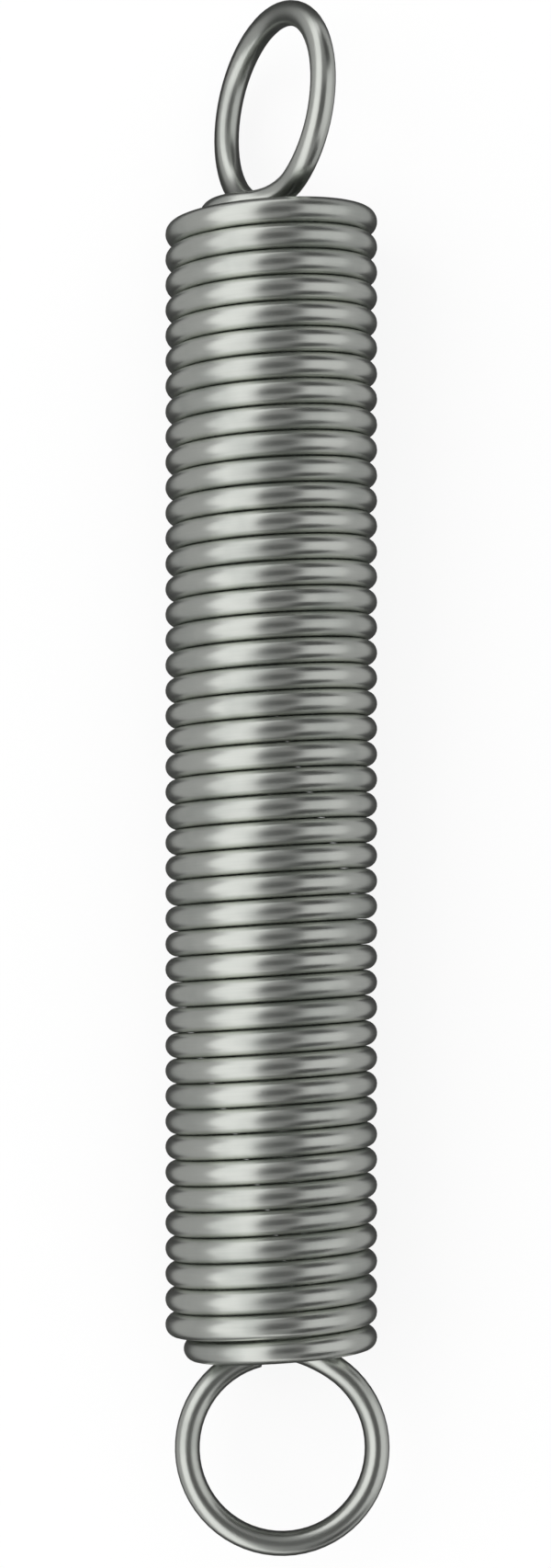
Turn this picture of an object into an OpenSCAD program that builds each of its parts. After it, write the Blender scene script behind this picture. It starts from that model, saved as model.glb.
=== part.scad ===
// Extension spring: one length of round wire, close-wound into a coil, with a
// round loop turned up over the middle of each end. It lies on its side on the
// ground plane, with the coil's axis along Y. Millimetres.

/* [Wire] */

// Diameter of the wire
wire_d = 1.5; // [1.2:0.05:1.7]

/* [Coil] */

// Outside diameter of the coil
coil_od = 12.7; // [11:0.1:16]
// Full turns between the two end turns
coil_turns = 44; // [10:1:60]
// Clearance between neighbouring turns, which touch in the real spring
turn_gap = 0.014; // [0.014:0.002:0.05]

/* [End turns] */

// How far each end turn is drawn in from the coil's side
draw_in = 1.1; // [0.8:0.05:1.4]

/* [End loops] */

// Outside diameter of the two loops
loop_od = 12.9; // [12:0.1:16]
// Length of each loop along its circle, in degrees
loop_sweep = 312; // [280:1:314]
// Turn of the top loop about the coil's axis, measured from the bottom loop
loop_twist = 58; // [0:1:90]
// Lean of each loop out of the axis, in degrees
loop_lean = 5; // [0:1:8]

/* [Hidden] */

// Fineness of the wire's section and of its path
section_fn = 24;
path_fn = 48;

// Radius of the coil and of the loops to the middle of the wire
coil_r = (coil_od - wire_d) / 2;
loop_r = (loop_od - wire_d) / 2;

// Each half turn is a half circle, tilted so that it climbs half a pitch
pitch = wire_d + turn_gap;
tilt = asin(pitch / 4 / coil_r);
side_r = coil_r * cos(tilt);
coil_length = coil_turns * pitch;

// Radius of the drawn-in half turn, of the tight curl that brings the wire to
// the middle of the coil, and of the bend that turns it up into the loop
drawn_r = coil_r - draw_in / 2;
curl_r = coil_r * 0.57;
curl_sweep = 130;
bend_r = coil_r * 0.8;

// Where on its circle the loop starts, measured from the point next the coil
loop_start = 34;

// How far the wire winds in at the bottom before its curl
bottom_sweep = 178;

// The bead that joins each arc of an end to the one before, a hair wider
// than the wire
bead_d = wire_d + 0.01;

// An arc of wire is [start, heading, way to its centre, radius, sweep]
function unit(v) = v / norm(v);
function square_to(v, heading) = unit(v - (v * heading) * heading);
function arc_end(a) = a[0] + a[3] * (sin(a[4]) * a[1] + (1 - cos(a[4])) * a[2]);
function arc_heading(a) = cos(a[4]) * a[1] + sin(a[4]) * a[2];

// The arcs of one end, each starting where and as the last one stops. The wire
// leaves the left of the coil, goes round the front and ends in the loop.
function drawn_arc(drawn_sweep) =
    let (heading = [0, -1, 0])
    [[-side_r, 0, 0], heading, square_to([1, 0, pitch / 4 / coil_r], heading),
        drawn_r, drawn_sweep];
function curl_arc(last, drawn_sweep) =
    let (heading = arc_heading(last))
    [arc_end(last), heading,
        square_to([cos(drawn_sweep), sin(drawn_sweep), pitch / 8 / coil_r], heading),
        curl_r, curl_sweep];
function loop_heading(out, up) = sin(loop_start) * up - cos(loop_start) * out;
function bend_arc(last, out, up) =
    let (
        heading = arc_heading(last),
        goal = loop_heading(out, up)
    )
    [arc_end(last), heading, square_to(goal, heading), bend_r, acos(heading * goal)];
function loop_arc(last, out, up) =
    [arc_end(last), arc_heading(last),
        square_to(cos(loop_start) * up + sin(loop_start) * out, arc_heading(last)),
        loop_r, loop_sweep];
function end_arcs(drawn_sweep) =
    let (
        turned = drawn_sweep - 180,
        out = [cos(turned), sin(turned), 0],
        up = [sin(turned) * sin(loop_lean), -cos(turned) * sin(loop_lean), cos(loop_lean)],
        drawn = drawn_arc(drawn_sweep),
        curl = curl_arc(drawn, drawn_sweep),
        bend = bend_arc(curl, out, up)
    )
    [drawn, curl, bend, loop_arc(bend, out, up)];

// Height of a loop's far side above the start of its end turn
function loop_top(arcs) =
    let (a = arcs[3])
    a[0][2] + a[3] * (a[2][2] + cos(loop_lean)) + wire_d / 2 * cos(loop_lean);

bottom_arcs = end_arcs(bottom_sweep);
top_arcs = end_arcs(bottom_sweep - loop_twist);
bottom_reach = loop_top(bottom_arcs);
top_reach = loop_top(top_arcs);

module wire_arc(radius, sweep) {
    rotate_extrude(angle = sweep, $fn = path_fn)
        translate([radius, 0])
            circle(d = wire_d, $fn = section_fn);
}

// Puts an arc in its place, with a bead that joins it to the wire before it
module placed_arc(a) {
    across = cross(-a[2], a[1]);
    centre = a[0] + a[3] * a[2];
    multmatrix([
        [-a[2][0], a[1][0], across[0], centre[0]],
        [-a[2][1], a[1][1], across[1], centre[1]],
        [-a[2][2], a[1][2], across[2], centre[2]],
        [0, 0, 0, 1]
    ]) {
        wire_arc(a[3], a[4]);
        translate([a[3], 0, 0])
            rotate([90, 0, 0])
                sphere(d = bead_d, $fn = section_fn);
    }
}

module wire_end(arcs) {
    for (a = arcs)
        placed_arc(a);
}

module half_turn(k) {
    translate([0, 0, (k + 0.5) * pitch / 2])
        rotate([0, 0, 180 * k])
            rotate([0, tilt, 0])
                wire_arc(coil_r, 180);
}

module spring() {
    color("silver")
        translate([0, (bottom_reach - top_reach - coil_length) / 2, coil_od / 2])
            rotate([-90, 0, 0]) {
                for (k = [0:2 * coil_turns - 1])
                    half_turn(k);
                rotate([0, 180, 0])
                    wire_end(bottom_arcs);
                translate([0, 0, coil_length])
                    rotate([0, 0, 180])
                        wire_end(top_arcs);
            }
}

spring();
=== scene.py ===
"""Extension spring of drawn steel wire, lying on a white floor.

The close-wound coil runs along Y. A round loop is turned up over the middle of
each end. Everything is in metres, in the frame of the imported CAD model.
"""

import logging
import math
from collections.abc import Iterator
from dataclasses import dataclass
from enum import Enum

import bpy
from mathutils import Matrix, Vector


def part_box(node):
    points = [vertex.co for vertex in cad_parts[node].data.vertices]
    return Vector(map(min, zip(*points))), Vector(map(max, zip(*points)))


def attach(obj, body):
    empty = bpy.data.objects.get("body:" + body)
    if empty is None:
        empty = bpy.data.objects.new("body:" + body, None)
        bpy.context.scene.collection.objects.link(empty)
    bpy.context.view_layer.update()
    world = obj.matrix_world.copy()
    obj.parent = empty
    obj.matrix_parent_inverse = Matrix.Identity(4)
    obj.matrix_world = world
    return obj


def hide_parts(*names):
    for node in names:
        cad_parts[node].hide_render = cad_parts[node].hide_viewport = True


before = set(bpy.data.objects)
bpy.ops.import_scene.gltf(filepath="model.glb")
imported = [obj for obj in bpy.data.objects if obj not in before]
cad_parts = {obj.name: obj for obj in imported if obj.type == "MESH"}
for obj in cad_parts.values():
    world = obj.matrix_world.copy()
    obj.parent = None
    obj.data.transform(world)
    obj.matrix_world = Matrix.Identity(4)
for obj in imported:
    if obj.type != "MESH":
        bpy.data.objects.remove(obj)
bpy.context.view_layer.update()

MM = 0.001
# Sockets of a Mix node that are in use when it mixes colours
MIX_FACTOR, MIX_FIRST, MIX_SECOND, MIX_RESULT = 0, 6, 7, 2
# What the count of an arc's steps may be off by, as a share of a step
ROUNDING = 1e-6
LOG = logging.getLogger("spring")
Point = tuple[float, float, float]
Edges = list[tuple[Point, Point]]
Colour = tuple[float, float, float, float]
WHITE: Colour = (1.0, 1.0, 1.0, 1.0)


class Along(Enum):
    """Names of the attributes that the wire carries along it."""

    TAPER = "wire_taper"
    LENGTH = "wire_length"
    SECTION = "wire_section"


class Sees(Enum):
    """Which rays meet a stage object."""

    EVERYTHING = "everything"
    REFLECTIONS = "reflections"


class Signal:
    """A shader socket that Python's operators work on."""

    def __init__(self, tree: bpy.types.NodeTree, socket: bpy.types.NodeSocket) -> None:
        """Wraps a socket.

        Args:
            tree: The node tree that the socket is in.
            socket: An output socket that holds a number.
        """
        self.tree = tree
        self.socket = socket

    def _maths(
        self, operation: str, first: "Signal | float", second: "Signal | float"
    ) -> "Signal":
        """Adds a Math node.

        Args:
            operation: The node's operation.
            first: Its first value.
            second: Its second value.

        Returns:
            The node's result.
        """
        node = self.tree.nodes.new("ShaderNodeMath")
        node.operation = operation
        for socket, value in zip(node.inputs, (first, second)):
            if isinstance(value, Signal):
                self.tree.links.new(value.socket, socket)
            else:
                socket.default_value = value
        return Signal(self.tree, node.outputs[0])

    def __add__(self, other: "Signal | float") -> "Signal":
        """Sum of the two."""
        return self._maths("ADD", self, other)

    __radd__ = __add__

    def __mul__(self, other: "Signal | float") -> "Signal":
        """Product of the two."""
        return self._maths("MULTIPLY", self, other)

    __rmul__ = __mul__

    def larger(self, other: "Signal | float") -> "Signal":
        """The larger of the two."""
        return self._maths("MAXIMUM", self, other)


class Nodes:
    """A node tree, with one way to add a node to it."""

    def __init__(self, tree: bpy.types.NodeTree) -> None:
        """Empties a tree.

        Args:
            tree: The node tree of a material, of the world or of a modifier.
        """
        self.tree = tree
        tree.nodes.clear()

    def node(
        self, kind: str, settings: dict | None = None, values: dict | None = None
    ) -> bpy.types.Node:
        """Adds a node.

        Args:
            kind: The node's type.
            settings: Its settings by name, which are set first.
            values: Values, Signals or sockets for its inputs by name or number.

        Returns:
            The new node.
        """
        node = self.tree.nodes.new(kind)
        for name, setting in (settings or {}).items():
            setattr(node, name, setting)
        for key, value in (values or {}).items():
            if isinstance(value, Signal):
                value = value.socket
            if isinstance(value, bpy.types.NodeSocket):
                self.tree.links.new(value, node.inputs[key])
            else:
                node.inputs[key].default_value = value
        return node

    def signal(self, node: bpy.types.Node, output: str | int = 0) -> Signal:
        """Wraps one of a node's outputs."""
        return Signal(self.tree, node.outputs[output])

    def background_rays(self) -> Signal:
        """Finds the rays that are to meet the plain white background.

        Returns:
            One for camera, glossy and transmission rays, and nought for others.
        """
        path = self.node("ShaderNodeLightPath")
        camera = self.signal(path, "Is Camera Ray")
        glossy = self.signal(path, "Is Glossy Ray")
        return camera.larger(glossy).larger(self.signal(path, "Is Transmission Ray"))


@dataclass(frozen=True)
class DrawnSteel:
    """Bright drawn wire, with the die's fine lines along it.

    Attributes:
        light: Colour of the clean steel.
        dark: Colour of the steel where its film of oil is thicker.
        roughness: Roughness of the clean steel.
        dull: What the film of oil adds to the roughness.
        patch: Size of an oily patch.
        patch_detail: Octaves of the patches' noise.
        thin: The patches' noise up to which there is no oil.
        thick: The patches' noise from which the oil is thickest.
        patch_share: Share that the patches have in the film of oil.
        lines: How many noise cells go across the wire's radius.
        line_detail: Octaves of the lines' noise.
        line_length: Length of a line along the wire.
        line_depth: Depth of the lines.
    """

    light: Colour = (0.75, 0.77, 0.725, 1.0)
    dark: Colour = (0.58, 0.605, 0.57, 1.0)
    roughness: float = 0.27
    dull: float = 0.08
    patch: float = 4 * MM
    patch_detail: float = 3.0
    thin: float = 0.42
    thick: float = 0.68
    patch_share: float = 0.6
    lines: float = 7.0
    line_detail: float = 2.0
    line_length: float = 5 * MM
    line_depth: float = 0.004 * MM

    def build(self, name: str, wire_radius: float) -> bpy.types.Material:
        """Makes the material.

        Args:
            name: The material's name.
            wire_radius: Radius of the wire that it dresses.

        Returns:
            The material.
        """
        material = bpy.data.materials.new(name)
        material.use_nodes = True
        nodes = Nodes(material.node_tree)

        lines = self._lines(nodes, wire_radius)
        place = nodes.node("ShaderNodeTexCoord")
        patches = nodes.node(
            "ShaderNodeTexNoise",
            {"noise_dimensions": "3D"},
            {
                "Vector": place.outputs["Object"],
                "Scale": 1 / self.patch,
                "Detail": self.patch_detail,
            },
        )
        oil = nodes.node(
            "ShaderNodeMapRange",
            {"interpolation_type": "SMOOTHSTEP"},
            {
                "Value": patches.outputs["Fac"],
                "From Min": self.thin,
                "From Max": self.thick,
            },
        )
        cover = nodes.signal(oil) * self.patch_share + lines * (1 - self.patch_share)
        colour = nodes.node(
            "ShaderNodeMix",
            {"data_type": "RGBA"},
            {MIX_FACTOR: cover, MIX_FIRST: self.light, MIX_SECOND: self.dark},
        )
        bump = nodes.node(
            "ShaderNodeBump",
            values={"Height": lines, "Distance": self.line_depth, "Strength": 1.0},
        )
        surface = nodes.node(
            "ShaderNodeBsdfPrincipled",
            values={
                "Base Color": colour.outputs[MIX_RESULT],
                "Metallic": 1.0,
                "Roughness": cover * self.dull + self.roughness,
                "Normal": bump.outputs["Normal"],
            },
        )
        nodes.node("ShaderNodeOutputMaterial", values={"Surface": surface.outputs[0]})
        return material

    def _lines(self, nodes: Nodes, wire_radius: float) -> Signal:
        """Draws noise out along the wire.

        Args:
            nodes: The material's tree.
            wire_radius: Radius of the wire.

        Returns:
            The lines' height, from nought to one.
        """
        section = nodes.node(
            "ShaderNodeAttribute", {"attribute_name": Along.SECTION.value}
        )
        length = nodes.node(
            "ShaderNodeAttribute", {"attribute_name": Along.LENGTH.value}
        )
        across = nodes.node(
            "ShaderNodeVectorMath",
            {"operation": "SCALE"},
            {"Vector": section.outputs["Vector"], "Scale": self.lines / wire_radius},
        )
        down = nodes.node(
            "ShaderNodeCombineXYZ",
            values={"Z": nodes.signal(length, "Fac") * (1 / self.line_length)},
        )
        place = nodes.node(
            "ShaderNodeVectorMath",
            {"operation": "ADD"},
            {0: across.outputs[0], 1: down.outputs[0]},
        )
        noise = nodes.node(
            "ShaderNodeTexNoise",
            {"noise_dimensions": "3D"},
            {"Vector": place.outputs[0], "Scale": 1.0, "Detail": self.line_detail},
        )
        return nodes.signal(noise, "Fac")


@dataclass(frozen=True)
class PlainWhite:
    """Flat white of the floor, which still takes a soft shadow.

    Attributes:
        paint: Colour that the lamps light.
        glow: Share of plain white that the background rays see.
        white: Strength of that white, which makes up for what the paint takes.
    """

    paint: Colour = (0.93, 0.93, 0.93, 1.0)
    glow: float = 0.82
    white: float = 1.04

    def build(self, name: str) -> bpy.types.Material:
        """Makes the material.

        Args:
            name: The material's name.

        Returns:
            The material.
        """
        material = bpy.data.materials.new(name)
        material.use_nodes = True
        nodes = Nodes(material.node_tree)
        lit = nodes.node("ShaderNodeBsdfDiffuse", values={"Color": self.paint})
        white = nodes.node(
            "ShaderNodeEmission", values={"Color": WHITE, "Strength": self.white}
        )
        both = nodes.node(
            "ShaderNodeMixShader",
            values={
                0: nodes.background_rays() * self.glow,
                1: lit.outputs[0],
                2: white.outputs[0],
            },
        )
        nodes.node("ShaderNodeOutputMaterial", values={"Surface": both.outputs[0]})
        return material


@dataclass(frozen=True)
class PlainGlow:
    """Even glow of a reflector or a flag.

    Attributes:
        level: How bright it is, where one is white.
    """

    level: float

    def build(self, name: str) -> bpy.types.Material:
        """Makes the material.

        Args:
            name: The material's name.

        Returns:
            The material.
        """
        material = bpy.data.materials.new(name)
        material.use_nodes = True
        nodes = Nodes(material.node_tree)
        glow = nodes.node(
            "ShaderNodeEmission", values={"Color": WHITE, "Strength": self.level}
        )
        nodes.node("ShaderNodeOutputMaterial", values={"Surface": glow.outputs[0]})
        return material


@dataclass(frozen=True)
class Arc:
    """A circular arc of the wire's middle line.

    Attributes:
        start: Where it starts.
        heading: The way it sets off, of length one.
        inward: The way from its start to its centre, of length one.
        radius: Its radius.
        sweep: How far it turns, in radians.
    """

    start: Vector
    heading: Vector
    inward: Vector
    radius: float
    sweep: float

    def point(self, turned: float) -> Vector:
        """The point where the arc has turned so far."""
        ahead = math.sin(turned) * self.heading
        return self.start + self.radius * (ahead + (1 - math.cos(turned)) * self.inward)

    def heading_at(self, turned: float) -> Vector:
        """The wire's heading where the arc has turned so far."""
        return math.cos(turned) * self.heading + math.sin(turned) * self.inward

    def points(self, step: float) -> Iterator[Vector]:
        """Walks the arc.

        Args:
            step: The longest step, in radians.

        Yields:
            Points from the first step's end to the arc's end.
        """
        count = math.ceil(self.sweep / step - ROUNDING)
        for k in range(1, count + 1):
            yield self.point(self.sweep * k / count)


def square_to(way: Vector, heading: Vector) -> Vector:
    """Takes out of a vector what lies along a heading.

    Args:
        way: The vector.
        heading: The heading, of length one.

    Returns:
        What is left, made of length one.
    """
    return (way - way.dot(heading) * heading).normalized()


@dataclass
class SpringWire:
    """The spring: a close-wound coil, with a loop turned up at each end.

    Attributes:
        wire_d: Diameter of the wire.
        coil_od: Outside diameter of the coil.
        coil_turns: Full turns between the two end turns.
        turn_gap: Clearance between neighbouring turns.
        draw_in: How far each end turn is drawn in from the coil's side.
        loop_od: Outside diameter of the loops.
        loop_sweep: Length of each loop along its circle, in degrees.
        loop_twist: Turn of the top loop from the bottom one, in degrees.
        loop_lean: Lean of each loop out of the axis, in degrees.
        loop_start: Where the loop starts on its circle, in degrees.
        curl_share: Radius of the curl under the loop, as a share of the coil's.
        curl_sweep: How far the curl turns, in degrees.
        bend_share: Radius of the bend up into the loop, as a share of the coil's.
        bottom_sweep: How far the wire winds in at the bottom, in degrees.
        burr: Length of the rounded edge of each cut end.
        steps: Steps of the path in a full turn.
        sides: Sides of the wire's section.
    """

    wire_d: float = 1.5 * MM
    coil_od: float = 12.7 * MM
    coil_turns: int = 44
    turn_gap: float = 0.014 * MM
    draw_in: float = 1.1 * MM
    loop_od: float = 12.9 * MM
    loop_sweep: float = 312.0
    loop_twist: float = 58.0
    loop_lean: float = 5.0
    loop_start: float = 34.0
    curl_share: float = 0.57
    curl_sweep: float = 130.0
    bend_share: float = 0.8
    bottom_sweep: float = 178.0
    burr: float = 0.07 * MM
    steps: int = 64
    sides: int = 24

    def __post_init__(self) -> None:
        """Works out the radii, the pitch, and the climb and tilt of a half turn."""
        self.coil_r = (self.coil_od - self.wire_d) / 2
        self.loop_r = (self.loop_od - self.wire_d) / 2
        self.pitch = self.wire_d + self.turn_gap
        self.climb = self.pitch / 4 / self.coil_r
        self.tilt = math.asin(self.climb)
        self.side_r = self.coil_r * math.cos(self.tilt)
        self.coil_length = self.coil_turns * self.pitch

    def half_turn(self, k: int) -> Arc:
        """Makes one half turn of the coil, as a tilted half circle.

        Args:
            k: Its number, from the bottom of the coil.

        Returns:
            The arc, with the coil upright on its end.
        """
        side = 1 if k % 2 == 0 else -1
        return Arc(
            Vector((side * self.side_r, 0, k * self.pitch / 2)),
            Vector((0, side, 0)),
            Vector((-side * math.cos(self.tilt), 0, math.sin(self.tilt))),
            self.coil_r,
            math.pi,
        )

    def end_arcs(self, drawn_degrees: float) -> list[Arc]:
        """Makes the four arcs of one end, which leave the left of the coil.

        Args:
            drawn_degrees: How far the wire winds in before its curl.

        Returns:
            The drawn-in arc, the tight curl, the bend and the loop.
        """
        drawn_sweep = math.radians(drawn_degrees)
        turned = drawn_sweep - math.pi
        lean = math.radians(self.loop_lean)
        begin = math.radians(self.loop_start)
        out = Vector((math.cos(turned), math.sin(turned), 0))
        up = Vector(
            (
                math.sin(turned) * math.sin(lean),
                -math.cos(turned) * math.sin(lean),
                math.cos(lean),
            )
        )

        heading = Vector((0, -1, 0))
        drawn = Arc(
            Vector((-self.side_r, 0, 0)),
            heading,
            square_to(Vector((1, 0, self.climb)), heading),
            self.coil_r - self.draw_in / 2,
            drawn_sweep,
        )
        heading = drawn.heading_at(drawn.sweep)
        inward = Vector((math.cos(drawn_sweep), math.sin(drawn_sweep), self.climb / 2))
        curl = Arc(
            drawn.point(drawn.sweep),
            heading,
            square_to(inward, heading),
            self.coil_r * self.curl_share,
            math.radians(self.curl_sweep),
        )
        heading = curl.heading_at(curl.sweep)
        goal = math.sin(begin) * up - math.cos(begin) * out
        bend = Arc(
            curl.point(curl.sweep),
            heading,
            square_to(goal, heading),
            self.coil_r * self.bend_share,
            heading.angle(goal),
        )
        heading = bend.heading_at(bend.sweep)
        loop = Arc(
            bend.point(bend.sweep),
            heading,
            square_to(math.cos(begin) * up + math.sin(begin) * out, heading),
            self.loop_r,
            math.radians(self.loop_sweep),
        )
        return [drawn, curl, bend, loop]

    def end_points(self, drawn_degrees: float) -> list[Vector]:
        """Walks the arcs of one end.

        Args:
            drawn_degrees: How far the wire winds in before its curl.

        Returns:
            Points from the coil to the cut end, with a close pair at the cut.
        """
        step = math.tau / self.steps
        arcs = self.end_arcs(drawn_degrees)
        points = [p for arc in arcs for p in arc.points(step)]
        tip = arcs[-1]
        points.insert(-1, tip.point(tip.sweep - self.burr / tip.radius))
        return points

    def upright_line(self) -> list[Vector]:
        """Walks the wire's middle line from the bottom's cut end to the top's.

        Returns:
            Points with the coil standing on its end, and its start at the origin.
        """
        below = Matrix.Rotation(math.pi, 4, "Y")
        above = Matrix.Translation((0, 0, self.coil_length)) @ Matrix.Rotation(
            math.pi, 4, "Z"
        )
        bottom = [below @ p for p in self.end_points(self.bottom_sweep)]
        top = [above @ p for p in self.end_points(self.bottom_sweep - self.loop_twist)]
        coil = [self.half_turn(0).start]
        for k in range(2 * self.coil_turns):
            coil.extend(self.half_turn(k).points(math.tau / self.steps))
        return bottom[::-1] + coil + top

    def placement(self) -> Matrix:
        """Lays the coil on its side along Y, in the place of the CAD's.

        Returns:
            The way from the upright coil to the frame.
        """
        reach = [p.z for p in self.upright_line()]
        low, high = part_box("spring")
        middle = (low[1] + high[1] - min(reach) - max(reach)) / 2
        shift = Matrix.Translation((0, middle, low[2] + self.coil_od / 2))
        return shift @ Matrix.Rotation(-math.pi / 2, 4, "X")

    def sweep_tree(self) -> bpy.types.NodeTree:
        """Builds the Geometry Nodes that give a line of edges a round section.

        Returns:
            The tree, with inputs for the wire's radius, its sides and its finish.
        """
        tree = bpy.data.node_groups.new("Wire sweep", "GeometryNodeTree")
        sockets = tree.interface
        sockets.new_socket("Line", in_out="INPUT", socket_type="NodeSocketGeometry")
        sockets.new_socket("Wire radius", in_out="INPUT", socket_type="NodeSocketFloat")
        sockets.new_socket("Sides", in_out="INPUT", socket_type="NodeSocketInt")
        sockets.new_socket("Finish", in_out="INPUT", socket_type="NodeSocketMaterial")
        sockets.new_socket("Wire", in_out="OUTPUT", socket_type="NodeSocketGeometry")

        nodes = Nodes(tree)
        given = nodes.node("NodeGroupInput").outputs
        path = nodes.node("GeometryNodeMeshToCurve", values={"Mesh": given["Line"]})
        place = nodes.node("GeometryNodeSplineParameter")
        marked_path = nodes.node(
            "GeometryNodeStoreNamedAttribute",
            {"data_type": "FLOAT"},
            {
                "Geometry": path.outputs["Curve"],
                "Name": Along.LENGTH.value,
                "Value": place.outputs["Length"],
            },
        )
        section = nodes.node(
            "GeometryNodeCurvePrimitiveCircle",
            values={"Resolution": given["Sides"], "Radius": given["Wire radius"]},
        )
        where = nodes.node("GeometryNodeInputPosition")
        marked_section = nodes.node(
            "GeometryNodeStoreNamedAttribute",
            {"data_type": "FLOAT_VECTOR"},
            {
                "Geometry": section.outputs["Curve"],
                "Name": Along.SECTION.value,
                "Value": where.outputs["Position"],
            },
        )
        taper = nodes.node(
            "GeometryNodeInputNamedAttribute",
            {"data_type": "FLOAT"},
            {"Name": Along.TAPER.value},
        )
        wire = nodes.node(
            "GeometryNodeCurveToMesh",
            values={
                "Curve": marked_path.outputs["Geometry"],
                "Profile Curve": marked_section.outputs["Geometry"],
                "Scale": taper.outputs["Attribute"],
                "Fill Caps": True,
            },
        )
        real = nodes.node(
            "GeometryNodeRealizeInstances", values={"Geometry": wire.outputs["Mesh"]}
        )
        dressed = nodes.node(
            "GeometryNodeSetMaterial",
            values={
                "Geometry": real.outputs["Geometry"],
                "Material": given["Finish"],
            },
        )
        nodes.node("NodeGroupOutput", values={"Wire": dressed.outputs["Geometry"]})
        return tree

    def build(self, finish: DrawnSteel) -> bpy.types.Object:
        """Makes the wire as a plain mesh that stands for the CAD's.

        Args:
            finish: The finish of the wire.

        Returns:
            The wire's object.
        """
        place = self.placement()
        points = [place @ p for p in self.upright_line()]
        edges = [(k, k + 1) for k in range(len(points) - 1)]
        line = bpy.data.meshes.new("Wire line")
        line.from_pydata(points, edges, [])
        cut = 1 - 2 * self.burr / self.wire_d
        taper = line.attributes.new(Along.TAPER.value, "FLOAT", "POINT")
        taper.data.foreach_set("value", [cut, *[1.0] * (len(points) - 2), cut])
        guide = bpy.data.objects.new("Wire line", line)
        bpy.context.scene.collection.objects.link(guide)

        tree = self.sweep_tree()
        sweep = guide.modifiers.new("Wire sweep", "NODES")
        sweep.node_group = tree
        inputs = {
            "Wire radius": self.wire_d / 2,
            "Sides": self.sides,
            "Finish": finish.build("Drawn steel wire", self.wire_d / 2),
        }
        for item in tree.interface.items_tree:
            if item.in_out == "INPUT" and item.name in inputs:
                sweep[item.identifier] = inputs[item.name]

        graph = bpy.context.evaluated_depsgraph_get()
        mesh = bpy.data.meshes.new_from_object(guide.evaluated_get(graph))
        mesh.name = "spring_wire"
        bpy.data.objects.remove(guide)
        wire = bpy.data.objects.new("spring_wire", mesh)
        bpy.context.scene.collection.objects.link(wire)
        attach(wire, "root")
        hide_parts("spring")
        return wire


@dataclass(frozen=True)
class Reflector:
    """A strip of the studio's vault, which only the metal sees.

    Attributes:
        name: What it is.
        from_angle: Where it starts, in degrees from straight up towards +X.
        to_angle: Where it ends.
        near: Its lower end along Y.
        far: Its upper end along Y.
        level: How bright it is, where one is white.
    """

    name: str
    from_angle: float
    to_angle: float
    near: float
    far: float
    level: float


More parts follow.
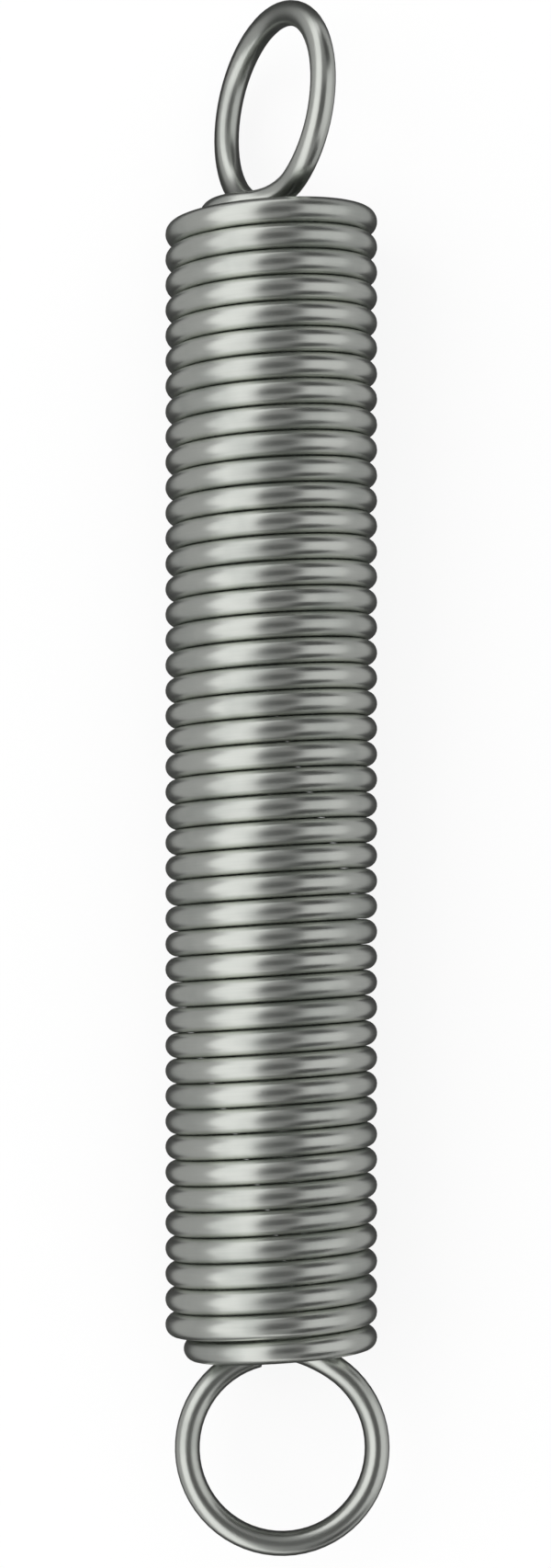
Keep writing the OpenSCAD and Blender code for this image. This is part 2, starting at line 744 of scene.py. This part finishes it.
@dataclass
class Studio:
    """The floor, the light and what the metal reflects.

    Attributes:
        floor_size: Side of the floor.
        vault_r: Radius of the vault of reflectors about the coil.
        mat_reach: How far the mats reach to each side.
        shadow_reach: How far the painted shadow under the spring reaches to each side.
        left_mat: How bright the left mat is, where one is white.
        painted_shadow_mat: How bright the painted shadow under the spring is, a dark
            mat that only the metal sees.
        right_mat: How bright the right mat is.
        mat_lift: Height of the mats above the floor.
        strip_steps: Flat faces across a strip of the vault.
        fill: Strength of the even light from all round.
        lamp_size: Side of the soft lamp.
        lamp_place: Where the soft lamp hangs.
        lamp_level: Brightness of the lamp's face, where one is white.
    """

    floor_size: float = 12.0
    vault_r: float = 1.0
    mat_reach: float = 0.5
    shadow_reach: float = 14 * MM
    left_mat: float = 0.37
    painted_shadow_mat: float = 0.04
    right_mat: float = 0.4
    mat_lift: float = 0.02 * MM
    strip_steps: int = 8
    fill: float = 0.75
    lamp_size: float = 0.5
    lamp_place: Point = (-0.42, 0.1, 0.5)
    lamp_level: float = 1.6

    def reflectors(self) -> list[Reflector]:
        """Lists the reflectors and flags.

        Returns:
            The strips of the vault, from left to right.
        """
        return [
            Reflector("Left wall", -90, -70, -1.2, 1.2, 0.34),
            Reflector("Flag over the middle", -15, 34, -0.45, 0.45, 0.08),
            Reflector("Ceiling above", -15, 34, 0.45, 4.0, 0.24),
            Reflector("Ceiling below", -15, 34, -4.0, -0.45, 0.24),
            Reflector("Right light", 34, 90, -0.65, 0.65, 0.66),
            Reflector("Right wall above", 34, 90, 0.65, 4.0, 0.04),
            Reflector("Right wall below", 34, 90, -4.0, -0.65, 0.04),
        ]

    def build(self) -> None:
        """Makes the floor, the reflectors, the lamp and the world."""
        half = self.floor_size / 2
        floor_finish = PlainWhite().build("Plain white floor")
        self._sheet("Floor", self._flat(-half, half, half, 0), floor_finish)
        self._mat("Left mat", -self.mat_reach, -self.shadow_reach, self.left_mat)
        # Painted shadow: the dark mat under the spring stands for the spring's own
        # shadow on the floor, as the metal reflects it.
        self._mat("Painted shadow mat", -self.shadow_reach, self.shadow_reach, self.painted_shadow_mat)
        self._mat("Right mat", self.shadow_reach, self.mat_reach, self.right_mat)
        for reflector in self.reflectors():
            self._vault_strip(reflector)
        self._lamp()
        self._world()

    def _flat(self, left: float, right: float, reach: float, height: float) -> Edges:
        """Places the long edges of a sheet that lies flat.

        Args:
            left: Its edge towards -X.
            right: Its edge towards +X.
            reach: How far it reaches each way along Y.
            height: Its height above the ground plane.

        Returns:
            The ends of its left edge and of its right edge.
        """
        return [((x, -reach, height), (x, reach, height)) for x in (left, right)]

    def _mat(self, name: str, left: float, right: float, level: float) -> None:
        """Lays a grey mat on the floor, which only the metal sees.

        Args:
            name: Its name.
            left: Its edge towards -X.
            right: Its edge towards +X.
            level: How bright it is, where one is white.
        """
        edges = self._flat(left, right, self.mat_reach, self.mat_lift)
        self._sheet(name, edges, PlainGlow(level).build(name), Sees.REFLECTIONS)

    def _vault_strip(self, strip: Reflector) -> None:
        """Makes one strip of the vault.

        Args:
            strip: The reflector.
        """
        edges = []
        for k in range(self.strip_steps + 1):
            share = k / self.strip_steps
            turn = strip.to_angle - strip.from_angle
            angle = math.radians(strip.from_angle + turn * share)
            x, z = self.vault_r * math.sin(angle), self.vault_r * math.cos(angle)
            edges.append(((x, strip.near, z), (x, strip.far, z)))
        finish = PlainGlow(strip.level).build(strip.name)
        self._sheet(strip.name, edges, finish, Sees.REFLECTIONS)

    def _sheet(
        self,
        name: str,
        edges: Edges,
        finish: bpy.types.Material,
        sees: Sees = Sees.EVERYTHING,
    ) -> None:
        """Makes a stage sheet that runs from edge to edge.

        Args:
            name: Its name.
            edges: The ends of the parallel edges, in order.
            finish: Its material.
            sees: Which rays meet it.
        """
        corners = [corner for edge in edges for corner in edge]
        faces = [(k, k + 2, k + 3, k + 1) for k in range(0, len(corners) - 2, 2)]
        mesh = bpy.data.meshes.new(name)
        mesh.from_pydata(corners, [], faces)
        mesh.materials.append(finish)
        sheet = bpy.data.objects.new(name, mesh)
        bpy.context.scene.collection.objects.link(sheet)
        if sees is Sees.REFLECTIONS:
            sheet.visible_camera = False
            sheet.visible_diffuse = False
            sheet.visible_shadow = False
            sheet.visible_transmission = False
        LOG.info("stage: %s", name)

    def _lamp(self) -> None:
        """Hangs the soft lamp, with its face to the spring."""
        data = bpy.data.lights.new("Soft lamp", "AREA")
        data.size = self.lamp_size
        data.energy = self.lamp_level * math.pi * self.lamp_size**2
        lamp = bpy.data.objects.new("Soft lamp", data)
        lamp.location = self.lamp_place
        lamp.visible_glossy = False
        towards = -Vector(self.lamp_place)
        lamp.rotation_euler = towards.to_track_quat("-Z", "Y").to_euler()
        bpy.context.scene.collection.objects.link(lamp)

    def _world(self) -> None:
        """Makes the world: white to the background rays, and an even fill."""
        world = bpy.data.worlds.new("Studio")
        world.use_nodes = True
        nodes = Nodes(world.node_tree)
        seen = nodes.background_rays()
        sky = nodes.node(
            "ShaderNodeBackground",
            values={
                "Color": WHITE,
                "Strength": seen * (1 - self.fill) + self.fill,
            },
        )
        nodes.node("ShaderNodeOutputWorld", values={"Surface": sky.outputs[0]})
        bpy.context.scene.world = world


@dataclass
class PhotoCamera:
    """The camera, straight above the spring, with its top towards +Y.

    Attributes:
        frame_w: Width of the photograph, in pixels.
        frame_h: Height of the photograph, in pixels.
        scale: Pixels to a metre at the coil's axis.
        distance: Height of the camera above the coil's axis.
        axis_px: Column of the coil's axis in the photograph.
        level_px: Row that the camera stands straight above.
        coil_start_px: Row where the coil's first full turn starts.
        sensor: Length of the sensor's long side, in millimetres.
    """

    frame_w: int = 600
    frame_h: int = 1706
    scale: float = 18.2 / MM
    distance: float = 230 * MM
    axis_px: float = 295.4
    level_px: float = 1045.0
    coil_start_px: float = 1454.3
    sensor: float = 36.0

    def build(self, coil_start: Vector) -> None:
        """Makes the camera and gives it to the scene.

        Args:
            coil_start: The point of the coil's axis where its first turn starts.
        """
        data = bpy.data.cameras.new("Photo camera")
        data.sensor_width = self.sensor
        data.lens = self.sensor * self.distance * self.scale / self.frame_h
        data.shift_y = (self.level_px - self.frame_h / 2) / self.frame_h
        camera = bpy.data.objects.new("Photo camera", data)
        camera.location = (
            (self.frame_w / 2 - self.axis_px) / self.scale,
            coil_start.y + (self.coil_start_px - self.level_px) / self.scale,
            coil_start.z + self.distance,
        )
        bpy.context.scene.collection.objects.link(camera)
        bpy.context.scene.camera = camera


def main() -> None:
    """Builds the spring, the studio and the camera, in that order."""
    logging.basicConfig(level=logging.INFO, format="%(name)s: %(message)s")
    LOG.info("packed model: %d node(s)", len(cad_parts))
    spring = SpringWire()
    wire = spring.build(DrawnSteel())
    LOG.info("wire: %d faces", len(wire.data.polygons))
    Studio().build()
    PhotoCamera().build(spring.placement().translation)
    bpy.context.scene.view_settings.view_transform = "Standard"


if __name__ == "__main__":
    main()
